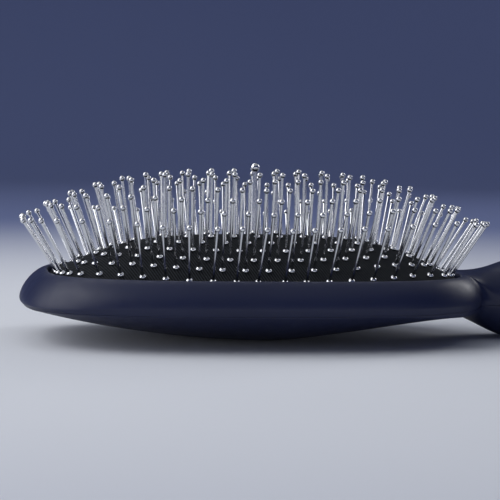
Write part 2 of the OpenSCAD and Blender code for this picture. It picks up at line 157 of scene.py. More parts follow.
def grip_share(x):
    """Share of the handle's section: 0 on the head, 1 past the neck."""
    return smooth((x - NECK_X) / NECK_BLEND_L + 0.5)


def top_h(x):
    x = np.asarray(x, float)
    near = RIM_H + (HANDLE_TOP - RIM_H) * smooth((x - TOP_SWELL_X) / SWELL_L)
    far = HANDLE_TOP - (HANDLE_TOP - END_TOP) * smooth((x - BULGE_X) / (END_X - BULGE_X))
    return np.where(x < BULGE_X, near, far)


def keel_h(x):
    """Height of the underside on the middle line."""
    x = np.asarray(x, float)
    to_tip = np.clip((BELLY_X - x) / (BELLY_X + TIP_X - TUCK), 0, 1)
    tip = EDGE_H - (EDGE_H + FLAT_DEPTH) * power(1 - to_tip**KEEL_TIP_N, KEEL_TIP_SHARE)
    to_neck = np.clip((x - BELLY_X) / (SWELL_X - BELLY_X), 0, 1)
    rise = to_neck**KEEL_NECK_N - smooth((x - SWELL_X) / SWELL_L)
    neck = (NECK_BOTTOM + FLAT_DEPTH) * rise - FLAT_DEPTH
    end = END_BOTTOM * smooth((x - BULGE_X) / (END_X - BULGE_X)) - FLAT_DEPTH
    return np.where(x < BELLY_X, tip, np.where(x < BULGE_X, neck, end))


def edge_h(x):
    """Height of the edge between wall and belly."""
    return EDGE_H - (EDGE_H - NECK_BOTTOM - TUCK) * smooth((x - OPEN_A / 2) / (NECK_X - OPEN_A / 2))


def middle_h(x):
    return (top_h(x) + keel_h(x)) / 2


def waist_h(x):
    """Height of the widest line."""
    g = grip_share(x)
    head = WAIST_H - TIP_DROP * smooth((-x / TIP_X - DROP_FROM_SHARE) / DROP_FADE_SHARE)
    return head * (1 - g) + middle_h(x) * g


def dome_h(x, y):
    """Height of the pad's crown."""
    across = np.maximum(1 - np.abs(y / OPEN_B) ** CROWN_ACROSS_N, 0.0)
    along = np.maximum(1 - np.abs(x / OPEN_A) ** CROWN_ALONG_N, 0.0)
    return RIM_H - EDGE_DROP + CROWN_H * across * along


class Builder:
    """Gathers grids of points into one mesh, in millimetres."""

    def __init__(self):
        self.points = []
        self.faces = []
        self.count = 0

    def grid(self, rows, flip=False, closed=False):
        """rows is an array of rows x columns x 3; the faces look along rows cross columns."""
        rows = np.asarray(rows, float)
        n, m = rows.shape[:2]
        index = np.arange(n * m).reshape(n, m) + self.count
        self.points.append(rows.reshape(-1, 3))
        self.count += n * m
        right = np.roll(index, -1, axis=1) if closed else index[:, 1:]
        left = index if closed else index[:, :-1]
        quads = np.stack([left[:-1], right[:-1], right[1:], left[1:]], -1).reshape(-1, 4)
        self.faces.extend((quads[:, ::-1] if flip else quads).tolist())

    def both(self, rows):
        """A grid on the +Y side and its mirror image; faces in the middle plane are left out."""
        rows = np.asarray(rows, float)
        for side, flip in ((1, False), (-1, True)):
            first = len(self.faces)
            self.grid(rows * [1, side, 1], flip)
            flat = np.abs(np.vstack(self.points)[:, 1]) < TINY
            self.faces[first:] = [f for f in self.faces[first:] if not all(flat[i] for i in f)]

    def fan(self, ring, tip):
        """Closes a ring of points with triangles to a tip."""
        n = len(ring)
        self.points.append(np.vstack([ring, [tip]]))
        self.faces.extend([self.count + i, self.count + (i + 1) % n, self.count + n] for i in range(n))
        self.count += n + 1


# Points nearer than this are one, and edges that turn by more than this angle look crisp
WELD, CRISP = 0.004, math.radians(38)


def new_mesh(name, builder):
    mesh = bpy.data.meshes.new(name)
    mesh.from_pydata((np.vstack(builder.points) * MM).tolist(), [], builder.faces)
    return mesh


def new_object(name, mesh, material):
    """A smooth-shaded object with one material."""
    for polygon in mesh.polygons:
        polygon.use_smooth = True
    mesh.materials.append(material)
    obj = bpy.data.objects.new(name, mesh)
    bpy.context.scene.collection.objects.link(obj)
    return obj


def new_piece(name, builder, material, body):
    """A welded piece that rides on a body."""
    mesh = new_mesh(name, builder)
    bm = bmesh.new()
    bm.from_mesh(mesh)
    bmesh.ops.remove_doubles(bm, verts=bm.verts, dist=WELD * MM)
    bmesh.ops.dissolve_degenerate(bm, edges=bm.edges, dist=TINY)
    bmesh.ops.recalc_face_normals(bm, faces=bm.faces)
    bm.to_mesh(mesh)
    bm.free()
    obj = new_object(name, mesh, material)
    mesh.set_sharp_from_angle(angle=CRISP)
    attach(obj, body)
    return obj


# Half of the body's plan, from the tip over the +Y side to the handle. The corner between
# shoulder and neck is rounded off by averaging the line over a reach, between two fades
PLAN_STEP, PLAN_POINTS, PLAN_RUN_ON = 0.1, 1500, 10.0
CORNER_FROM, CORNER_FADE, CORNER_REACH, CORNER_PASSES, CORNER_END_FADE = 43.5, 6.0, 3.0, 3, 8.0


def plan_line():
    tip = oval_point(TIP_X, HEAD_B, HEAD_N, np.linspace(1.5 * math.pi, math.pi, PLAN_POINTS))
    x = SHOULDER_X * np.sin(np.linspace(0, math.pi / 2, PLAN_POINTS)) ** (2 / SHOULDER_N)
    side = np.stack([x, body_half(x)], -1)
    x = np.arange(SHOULDER_X + PLAN_STEP, BULGE_X + PLAN_RUN_ON, PLAN_STEP)
    handle = np.stack([x, grip_half(x)], -1)
    line = np.vstack([tip, side[1:], handle])
    line = resample(line, int(walk(line)[-1] / PLAN_STEP))
    reach = int(CORNER_REACH / PLAN_STEP)
    kernel = np.ones(2 * reach + 1) / (2 * reach + 1)
    soft = line.copy()
    for _ in range(CORNER_PASSES):
        longer = np.pad(soft, ((reach, reach), (0, 0)), mode="edge")
        soft = np.stack([np.convolve(longer[:, k], kernel, "valid") for k in (0, 1)], -1)
    x = line[:, :1]
    share = smooth((x - CORNER_FROM) / CORNER_FADE) * (1 - smooth((x - BULGE_X) / CORNER_END_FADE))
    return line * (1 - share) + soft * share


PLAN = plan_line()
PLAN_RIGHT = PLAN[PLAN[:, 0] >= 0]


def plan_half(x):
    """Half width of the body, with the rounded corner at the neck."""
    x = np.asarray(x, float)
    tip = oval_half(x, TIP_X, HEAD_B, HEAD_N)
    inner = np.interp(x, PLAN_RIGHT[:, 0], PLAN_RIGHT[:, 1])
    return np.where(x < 0, tip, np.where(x < BULGE_X, inner, grip_half(x)))


def end_reach(x, wall=0.0):
    """Share of the section left in the rounded end, drawn in by a wall."""
    into_end = (x - END_X) / (END_ROUND - wall)
    return np.where(x <= END_X, 1.0, np.sqrt(np.maximum(0, 1 - into_end**2)))


def grip_points(x, angle, wall=0.0):
    """Half of the handle's section: angle 90 is its top, 0 its widest line, -90 its underside."""
    x = np.asarray(x, float)
    share = end_reach(x, wall)
    c, s = np.cos(angle), np.sin(angle)
    reach = np.where(s > 0, top_h(x) - middle_h(x), middle_h(x) - keel_h(x)) - wall
    y = (plan_half(x) - wall) * share * power(c, 2 / GRIP_N)
    z = middle_h(x) + np.sign(s) * reach * share * np.abs(s) ** (2 / GRIP_N)
    return np.stack(np.broadcast_arrays(x, y, np.maximum(z, 0.0)), -1)


def seam_angle(x, wall=0.0):
    """Angle below the widest line at which the handle's section meets the seam."""
    down = (middle_h(x) - keel_h(x) - wall) * end_reach(x, wall)
    share = np.clip((middle_h(x) - SEAM_H) / np.maximum(down, TINY), 0, 1)
    return np.arcsin(share ** (GRIP_N / 2))


# Counts of columns around the half outline and over the arch of the neck
SIDE_COLUMNS, ARCH_COLUMNS = 120, 22
# Counts of rows: rim to widest line, widest line to seam, edge of the belly, and belly
PROFILE_ROWS, BAND_ROWS, EDGE_ROWS, BELLY_ROWS = 20, 5, 7, 26
# Counts of places along the handle, into its rounded end and over the very end
HANDLE_STEPS, TAIL_STEPS, CAP_STEPS = 64, 14, 8
ARCH = np.linspace(0, math.pi / 2, ARCH_COLUMNS + 1)


def clear_angle(wall):
    """Angle on the rounded end at which the underside rises past the seam."""
    down = float(middle_h(END_X) - keel_h(END_X)) - wall
    return math.acos((float(middle_h(END_X)) - SEAM_H) / down)


def tail_stations(wall):
    """Places along the handle that both shells reach."""
    tail = np.linspace(0, clear_angle(wall), TAIL_STEPS + 1)[1:]
    along = np.linspace(JOIN_X, END_X, HANDLE_STEPS + 1)
    return np.concatenate([along, END_X + (END_ROUND - wall) * np.sin(tail)])


def all_stations(wall):
    """Places along the handle up to its very end."""
    cap = np.linspace(clear_angle(wall), math.pi / 2, CAP_STEPS + 1)[1:]
    return np.concatenate([tail_stations(wall), END_X + (END_ROUND - wall) * np.sin(cap)])


def side_line():
    """Outline of the head at its widest line, and the outward directions in plan."""
    end = int(np.searchsorted(PLAN_RIGHT[:, 0], JOIN_X)) + len(PLAN) - len(PLAN_RIGHT)
    line = resample(np.vstack([PLAN[:end], [[JOIN_X, float(plan_half(JOIN_X))]]]), SIDE_COLUMNS)
    ahead = np.gradient(line, axis=0)
    out = unit(np.stack([-ahead[:, 1], ahead[:, 0]], -1))
    out[0] = (-1, 0)
    return line, out


def wall_row(line, out, f, wall=0.0):
    """Wall of the head at a share of the way from its widest line down to the seam."""
    x = line[:, 0]
    g = grip_share(x)[:, None]
    z = waist_h(x) + (SEAM_H - waist_h(x)) * f
    inset = TUCK * (waist_h(x) - z) / (waist_h(x) - edge_h(x)) + wall
    head = np.column_stack([line - out * inset[:, None], z])
    return head * (1 - g) + grip_points(x, -seam_angle(x, wall) * f, wall) * g


# Points of the opening that are tried for the one nearest to a point of the outline
OPENING_POINTS = 6001


def nearest_on_opening(points):
    """Nearest points of the opening's edge, and the outward directions there."""
    angle = np.linspace(1.5 * math.pi, 0.5 * math.pi, OPENING_POINTS)
    oval = oval_point(OPEN_A, OPEN_B, OPEN_N, angle)
    foot = oval[[int(np.argmin(((oval - p) ** 2).sum(1))) for p in points]]
    out = oval_out(foot, OPEN_A, OPEN_B)
    foot[0], foot[-1] = (-OPEN_A, 0), (OPEN_A, 0)
    out[0], out[-1] = (-1, 0), (1, 0)
    return foot, out


# The neck's shape takes over from the rim's round edge over this length of the outline
NECK_LEAD, NECK_FADE = 13.0, 20.0
# Step along the handle that its slope is measured over, height of the mouth's second row
# over its first, and count of the rows round its edge
SLOPE_STEP, MOUTH_H, MOUTH_ROWS = 0.5, 1.2, 4


def rim_rows(start, ends, away, wall):
    """Rows from the edge of the mouth to the widest line, over the head and into the neck."""
    along = walk(ends)
    share = smooth((along - along[SIDE_COLUMNS] + NECK_LEAD) / NECK_FADE)[:, None]
    ahead = grip_points(JOIN_X + SLOPE_STEP, ARCH, wall) - grip_points(JOIN_X, ARCH, wall)
    lead = np.vstack([np.repeat(ahead[:1], SIDE_COLUMNS, 0), ahead]) / SLOPE_STEP
    lead = unit(lead * share + np.array([0, 0, -1.0]) * (1 - share))
    chord = np.linalg.norm(ends - start, axis=1)[:, None]
    outward = np.column_stack([away, np.zeros(len(away))])
    rows = []
    for angle in np.linspace(0, math.pi / 2, PROFILE_ROWS + 1):
        flat, rise = math.sin(angle) ** (2 / RIM_N), max(0.0, math.cos(angle)) ** (2 / RIM_N)
        plan = start[:, :2] + (ends[:, :2] - start[:, :2]) * flat
        rim = np.column_stack([plan, ends[:, 2] + (start[:, 2] - ends[:, 2]) * rise])
        u = angle / (math.pi / 2)
        neck = (start * (2 * u**3 - 3 * u**2 + 1) + outward * chord * (u**3 - 2 * u**2 + u)
                + ends * (3 * u**2 - 2 * u**3) + lead * chord * (u**3 - u**2))
        rows.append(rim * (1 - share) + neck * share)
    return rows


def upper_skin(wall):
    """Grids of one half of the front shell's skin: mouth, rim, wall, handle and handle's side."""
    line, out = side_line()
    waist = np.column_stack([line - out * wall, waist_h(line[:, 0])])
    g = grip_share(line[:, 0])[:, None]
    waist = waist * (1 - g) + grip_points(line[:, 0], 0.0, wall) * g
    ends = np.vstack([waist, grip_points(JOIN_X, ARCH, wall)[1:]])
    foot, away = nearest_on_opening(ends[:, :2])
    top = top_h(np.maximum(foot[:, 0], 0)) if wall == 0 else np.full(len(foot), LIP_H)
    rim = rim_rows(np.column_stack([foot + away * RIM_R, top]), ends, away, wall)

    mouth = [level(foot, LIP_H), level(foot, LIP_H + MOUTH_H)]
    for angle in np.linspace(0, math.pi / 2, MOUTH_ROWS + 1)[:-1]:
        plan = foot + away * RIM_R * (1 - math.cos(angle))
        mouth.append(level(plan, top - RIM_R * (1 - math.sin(angle))))
    mouth.append(rim[0])

    shares = np.linspace(0, 1, BAND_ROWS + 1)
    band = [wall_row(line, out, f, wall) for f in shares]
    stations = all_stations(wall)
    handle = grip_points(stations[:, None], ARCH[None, :], wall)
    angle = -seam_angle(stations, wall)[:, None] * shares[None, :]
    handle_side = grip_points(stations[:, None], angle, wall)
    return np.array(mouth), np.array(rim), np.array(band), handle, handle_side


# The shells part in a fine line: the edge of each is drawn in there, but not on the middle line
PARTING, PARTING_FROM_Y = 0.06, 1.0


def drawn_in(points, out, rise):
    moved = points.copy()
    moved[..., :2] -= out * PARTING
    moved[..., 2] += rise
    return moved


def drawn_in_at_side(points, rise):
    return drawn_in(points, np.array([0.0, 1.0]) * (points[:, 1:2] > PARTING_FROM_Y), rise)


def front_shell(material):
    builder = Builder()
    out = side_line()[1]
    mouth, rim, band, handle, low = upper_skin(0.0)
    _, inner_rim, inner_band, inner_handle, inner_low = upper_skin(SHELL_T)
    band[-1] = drawn_in(band[-1], out, PARTING / 2)
    shared = low[:len(tail_stations(0.0)), -1]
    shared[:] = drawn_in_at_side(shared, PARTING / 2)
    for rows in (mouth, rim, band, handle, low, inner_rim, inner_band, inner_handle, inner_low,
                 [mouth[0], inner_rim[0]], [band[-1], inner_band[-1]], [low[:, -1], inner_low[:, -1]]):
        builder.both(rows)
    obj = new_piece("front_shell_skin", builder, material, "brush")
    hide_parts("front_shell")


# The rows of the belly run to the middle line, and their ends lie closer together from this
# place towards the tip
SPINE_X, SPINE_SHARE = -25.0, 0.4
# The rows lie closer near the edge, which starts at a share of the way up to the seam
FALL_N, EDGE_START_SHARE = 1.4, 0.35
# Share of the handle's underside that each row of the belly's edge takes
EDGE_ROW_SHARE = 0.004


def belly_h(x, y):
    ratio = np.clip(np.abs(y) / np.maximum(plan_half(x) - TUCK, TINY), 0, 1)
    return edge_h(x) - (edge_h(x) - keel_h(x)) * (1 - ratio**BELLY_N)


def belly_rows(line, out, fall, wall):
    """Rows of the head from the seam over the belly's edge to the middle line."""
    x = line[:, 0]
    edge = line - out * (TUCK + wall)
    spine = level(np.where(x < SPINE_X, SPINE_X + (x - SPINE_X) * SPINE_SHARE, x)[:, None], 0.0)

    def on_belly(f):
        plan = edge + (spine - edge) * f
        return level(plan, belly_h(plan[:, 0], plan[:, 1]) + wall)

    # The edge between wall and belly is a short curve from just under the seam
    round_share = EDGE_R / np.linalg.norm(spine - edge, axis=1)[:, None]
    seam, bend = wall_row(line, out, 1.0, wall), level(edge, edge_h(x))
    first, last = seam * EDGE_START_SHARE + bend * (1 - EDGE_START_SHARE), on_belly(round_share)
    rows = [seam]
    for t in np.linspace(0, 1, EDGE_ROWS - 1):
        rows.append(first * (1 - t) ** 2 + bend * 2 * t * (1 - t) + last * t**2)
    rows.extend(on_belly(round_share + (1 - round_share) * f) for f in fall)
    rows = np.array(rows)
    rows[..., 2] = np.minimum(rows[..., 2], SEAM_H)
    return rows


def lower_skin(wall):
    """Grids of one half of the back shell's skin, from the seam to the middle line."""
    line, out = side_line()
    g = grip_share(line[:, 0])[:, None]
    fall = (np.arange(1, BELLY_ROWS + 1) / BELLY_ROWS) ** FALL_N
    edge_share = (EDGE_ROWS - 1) * EDGE_ROW_SHARE
    progress = np.append(np.arange(EDGE_ROWS) * EDGE_ROW_SHARE, edge_share + (1 - edge_share) * fall)

    def on_grip(places):
        widest = np.cos(seam_angle(places, wall)) ** (2 / GRIP_N)
        angle = -np.arccos(np.clip((1 - progress)[:, None] * widest, 0, 1) ** (GRIP_N / 2))
        return grip_points(np.broadcast_to(places, angle.shape), angle, wall)

    head = belly_rows(line, out, fall, wall) * (1 - g) + on_grip(line[:, 0]) * g
    head[..., 1:] = np.maximum(head[..., 1:], 0)
    return head, on_grip(tail_stations(wall))


def back_shell(material):
    builder = Builder()
    head, handle = lower_skin(0.0)
    inner_head, inner_handle = lower_skin(SHELL_T)
    head[0] = drawn_in(head[0], side_line()[1], -PARTING / 2)
    handle[0] = drawn_in_at_side(handle[0], -PARTING / 2)
    for rows in (head, handle, inner_head, inner_handle,
                 [head[0], inner_head[0]], [handle[0], inner_handle[0]]):
        builder.both(rows)
    obj = new_piece("back_shell_skin", builder, material, "brush")
    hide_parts("back_shell")


# Rubber pad: gap around it, width of its flange, thickness and radius of its upper edge
CUSHION_GAP, FLANGE_W, RUBBER_T, PAD_ROUND = 0.4, 2.2, 1.8, 0.55
# Fine ribs run slightly askew across it and fade out at its edge
RIB_PITCH, RIB_H, RIB_ANGLE, RIB_FADE = 0.7, 0.16, math.radians(15), 1.2
RIB_SAMPLES, RIB_STEPS = 5, 56
OVAL_POINTS, HALVINGS = 20001, 48
# Angle at which the pad's round edge starts, and the count of its rows
ROUND_FROM, ROUND_ROWS = 0.45, 5
# Shares of the pad's size that the rows of its underside lie at
PAD_SHARES = (0.93, 0.75, 0.5, 0.25)


def on_dome(points, depth=0.0):
    return level(points, dome_h(points[..., 0], points[..., 1]) - depth)


def pad_lines(a, b):
    """Ends of the lines that the samples of the ribs lie on, across an oval, and their places."""
    across = np.array([math.cos(RIB_ANGLE), math.sin(RIB_ANGLE)])
    along = np.array([-math.sin(RIB_ANGLE), math.cos(RIB_ANGLE)])
    oval = oval_point(a, b, OPEN_N, np.linspace(0, 2 * math.pi, OVAL_POINTS))
    far = oval[int(np.argmax(oval @ across))]
    count = int(2 * (far @ across) / RIB_PITCH * RIB_SAMPLES)
    middle = far * np.linspace(-1, 1, count + 1)[:, None]
    ends = []
    for side in (-1.0, 1.0):
        # The end lies between the middle and a place well outside the oval
        low, high = np.zeros(count + 1), np.full(count + 1, 3 * a)
        for _ in range(HALVINGS):
            reach = (low + high) / 2
            point = np.abs(middle + along * (side * reach)[:, None])
            inside = (point[:, 0] / a) ** OPEN_N + (point[:, 1] / b) ** OPEN_N < 1
            low, high = np.where(inside, reach, low), np.where(inside, high, reach)
        ends.append(middle + along * (side * low)[:, None])
    return ends, middle @ across


def ribbed_top(a, b):
    """Grid of the ribbed crown over an oval, and the loop of points around it."""
    (low, high), across = pad_lines(a, b)
    t = np.linspace(0, 1, RIB_STEPS + 1)[None, :, None]
    plan = low[:, None] * (1 - t) + high[:, None] * t
    x, y = plan[..., 0], plan[..., 1]
    inward = (1 - ((np.abs(x) / a) ** OPEN_N + (np.abs(y) / b) ** OPEN_N) ** (1 / OPEN_N)) * b
    groove = 0.5 - 0.5 * np.cos(2 * math.pi * across / RIB_PITCH)
    z = dome_h(x, y) - RIB_H * groove[:, None] * smooth(inward / RIB_FADE)
    return np.dstack([x, y, z]), np.vstack([high, low[-2:0:-1]])


def cushion(material):
    inset = CUSHION_GAP + PAD_ROUND
    a, b = OPEN_A - inset, OPEN_B - inset
    top, loop = ribbed_top(a, b)
    builder = Builder()
    builder.grid(top)
    out = oval_out(loop, a, b)
    edge_z = dome_h(loop[:, 0], loop[:, 1])
    rows = []
    for angle in np.linspace(ROUND_FROM, math.pi / 2, ROUND_ROWS):
        reach = (math.sin(angle) - math.sin(ROUND_FROM)) / (1 - math.sin(ROUND_FROM))
        drop = math.cos(ROUND_FROM) - math.cos(angle)
        rows.append(level(loop + out * PAD_ROUND * reach, edge_z - PAD_ROUND * drop))
    skirt = loop + out * PAD_ROUND
    flange = loop + out * (inset + FLANGE_W)
    inner = loop - out * (RUBBER_T - PAD_ROUND)
    under = LIP_H - RUBBER_T
    rows += [level(skirt, LIP_H), level(flange, LIP_H), level(flange, under), level(inner, under)]
    rows += [on_dome(inner * share, RUBBER_T) for share in PAD_SHARES]
    builder.grid(np.array(rows), closed=True)
    builder.fan(rows[-1], (0, 0, float(dome_h(0, 0)) - RUBBER_T))
    obj = new_piece("cushion_rubber", builder, material, "brush")
    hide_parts("cushion")
    press(obj)


def press(obj):
    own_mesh(obj)


# Woven backing bonded under the rubber: thickness, gap, reach and spread of its rings of points
BACKING_T, FIT_GAP, BACKING_SHARE, SPREAD_N = 0.6, 0.15, 0.88, 0.8
BACKING_COLUMNS, BACKING_RINGS = 144, 22


def pad_backing(material):
    top = RUBBER_T + FIT_GAP
    inset = CUSHION_GAP + top
    oval = oval_point(OPEN_A - inset, OPEN_B - inset, OPEN_N, turns(BACKING_COLUMNS))
    shares = BACKING_SHARE * np.linspace(0, 1, BACKING_RINGS + 1)[1:] ** SPREAD_N
    rows = [on_dome(oval * share, top) for share in shares]
    rows += [on_dome(oval * share, top + BACKING_T) for share in shares[::-1]]
    builder = Builder()
    builder.grid(np.array(rows), closed=True)
    crown = float(dome_h(0, 0)) - top
    builder.fan(rows[0], (0, 0, crown))
    builder.fan(rows[-1], (0, 0, crown - BACKING_T))
    obj = new_piece("backing_cloth", builder, material, "brush")
    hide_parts("pad_backing")
    press(obj)


# Pins: six rings, drawn in from the opening, around a row along the middle. The outer four
# rings have corner pins between their side rows and end rows
RINGS, CORNER_RINGS, RING_STEPS = 6, 4, 180
PIN_PITCH, RING_INSET = 6.0, 2.1
OUTER_RING_N, INNER_RING_N, CROWD_SHARE = 2.8, 2.4, 0.45
CORNER_SHARES, CORNER_FROM_SHARE, CORNER_FADE_SHARE = (0.1, 0.08, 0, 0, 0, 0), 0.75, 0.17
# Lean of the outermost ring in degrees, and how quickly it falls towards the middle
EDGE_LEAN, LEAN_N = 33.0, 1.15
# Angles, in degrees from the brush's length, that part side rows, corners and end rows
SIDE_FROM, END_BELOW, SIDE_OR_END = 62, 30, 66
# Length, thickness and ball of a pin and of the centre pin
PIN = (17.3, 0.75, 1.5)
CENTRE_PIN = (18.8, 1.2, 2.5)
# Height above the pad that a pin is measured from, and its sides
PIN_GAP, PIN_SIDES = 0.3, 16
# Foot of a pin in the rubber: its depth, and the depth at which it is wider by this share
FOOT_DEPTH, FOOT_WIDEN_DEPTH, FOOT_WIDEN_SHARE = 0.9, 0.7, 1.3
# Bead: width, height, depth that it starts at, and exponent, first share and count of its rows
BEAD_D, BEAD_H, BEAD_DEPTH, BEAD_N, BEAD_FROM_SHARE, BEAD_ROWS = 1.8, 0.7, 0.55, 0.62, 0.06, 9
WIRE_SHARES = (0.33, 0.66)
# The ball starts where it is this much wider than the wire
BALL_ROWS, BALL_START_SHARE = 10, 1.02


def ring_n(ring):
    return OUTER_RING_N if ring == 1 else INNER_RING_N


def ring_points(ring, a, b, angle):
    """Points of a ring: an oval that widens a little towards its ends."""
    place = oval_point(a, b, ring_n(ring), angle)
    wide = smooth((np.abs(place[:, 0]) / a - CORNER_FROM_SHARE) / CORNER_FADE_SHARE)
    return place * np.column_stack([np.ones(len(place)), 1 + CORNER_SHARES[ring - 1] * wide])


def group_of(ring, place, out):
    """Name of the row that a pin of a ring leans with."""
    turn = math.degrees(math.atan2(abs(out[1]), abs(out[0])))
    side = "right" if place[1] < 0 else "left"
    if ring > CORNER_RINGS:
        return side if turn > SIDE_OR_END else "ends"
    if turn > SIDE_FROM:
        return side
    if turn < END_BELOW:
        return "tip" if out[0] < 0 else "neck"
    return "corners"


def ring_pins(ring):
    """Places of the pins of one ring, and their outward directions in plan."""
    inward = (ring - 1) * (OPEN_B - RING_INSET) / RINGS
    a, b = OPEN_A - RING_INSET - inward, OPEN_B - RING_INSET - inward
    angle = np.linspace(0, 2 * math.pi, RING_STEPS + 1)
    ahead = np.diff(ring_points(ring, a, b, angle), axis=0)
    # The pins lie closer together where the ring runs across the brush
    length = np.linalg.norm(ahead, axis=1)
    s = np.append(0, np.cumsum(length + CROWD_SHARE * ahead[:, 1] ** 2 / length))
    count = 2 * round(s[-1] / PIN_PITCH / 2)
    first = 0.5 if ring % 2 == 1 else 0
    wanted = (np.arange(count) + first) * s[-1] / count
    place = ring_points(ring, a, b, np.interp(wanted, s, angle))
    return place, oval_out(place, a, b, ring_n(ring))


def pin_profile(length, width, ball):
    """Radius and height along a pin: foot in the rubber, bead, wire and ball."""
    r = width / 2
    points = [(r, -FOOT_DEPTH), (r * FOOT_WIDEN_SHARE, -FOOT_WIDEN_DEPTH)]
    for t in np.linspace(BEAD_FROM_SHARE, 1, BEAD_ROWS):
        swell = (BEAD_D / 2 - r) * math.sin(math.pi * t) ** BEAD_N
        points.append((r + swell, (BEAD_H + BEAD_DEPTH) * t - BEAD_DEPTH))
    points += [(r, BEAD_H + (length - ball - BEAD_H) * share) for share in WIRE_SHARES]
    centre, radius = length - ball / 2, ball / 2
    first = math.asin(min(1, r / radius * BALL_START_SHARE))
    for angle in np.linspace(math.pi - first, 0, BALL_ROWS + 1)[:-1]:
        points.append((radius * math.sin(angle), centre + radius * math.cos(angle)))
    return np.array(points), length


def add_pin(builder, foot, axis, profile, tip):
    z = axis / np.linalg.norm(axis)
    x = np.cross(z, (0.0, 1.0, 0.0))
    x /= np.linalg.norm(x)
    y = np.cross(z, x)
    turn = turns(PIN_SIDES)[:, None]
    around = np.cos(turn) * x + np.sin(turn) * y
    rows = foot + profile[:, :1, None] * around[None] + profile[:, 1:, None] * z
    builder.grid(rows, closed=True)
    builder.fan(rows[0], foot + z * profile[0, 1])
    builder.fan(rows[-1], foot + z * tip)


# Each pin stands a little off its true line, by about this much in X and in Y
JITTER = math.radians(0.8)
random = np.random.default_rng(20)


def pin_group(name, body, pins, sizes, material):
    profile, tip = pin_profile(*sizes)
    builder = Builder()
    for place, axis in pins:
        foot = np.array([*place, float(dome_h(*place)) + PIN_GAP])
        add_pin(builder, foot, axis + np.append(random.normal(0, JITTER, 2), 0), profile, tip)
    obj = new_piece(name + "_polished", builder, material, body)
    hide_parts(name)


def all_pins(material):
    for ring in range(1, RINGS + 1):
        lean = math.radians(EDGE_LEAN * ((RINGS - ring + 1) / RINGS) ** LEAN_N)
        groups = {}
        for place, out in zip(*ring_pins(ring)):
            axis = np.append(out * math.sin(lean), math.cos(lean))
            groups.setdefault(group_of(ring, place, out), []).append((place, axis))
        for group, pins in sorted(groups.items()):
            body = f"ring{ring}" if group in ("corners", "ends") else f"ring{ring}_{group}"
            pin_group(f"pins_ring{ring}_{group}", body, pins, PIN, material)
    upright = np.array([0.0, 0.0, 1.0])
    reach = int((OPEN_A - OPEN_B + RING_INSET) / PIN_PITCH)
    row = [((i * PIN_PITCH, 0.0), upright) for i in range(-reach, reach + 1) if i != 0]
    pin_group("pins_centre_row", "centre_row", row, PIN, material)
    pin_group("centre_pin", "centre", [((0.0, 0.0), upright)], CENTRE_PIN, material)


# Materials. Colours are written as they look on a screen, from 0 to 255
def colour(r, g, b):
    def linear(value):
        value /= 255
        return value / 12.92 if value <= 0.04045 else ((value + 0.055) / 1.055) ** 2.4
    return (linear(r), linear(g), linear(b), 1.0)


NOISE_ROUGHNESS = 0.55


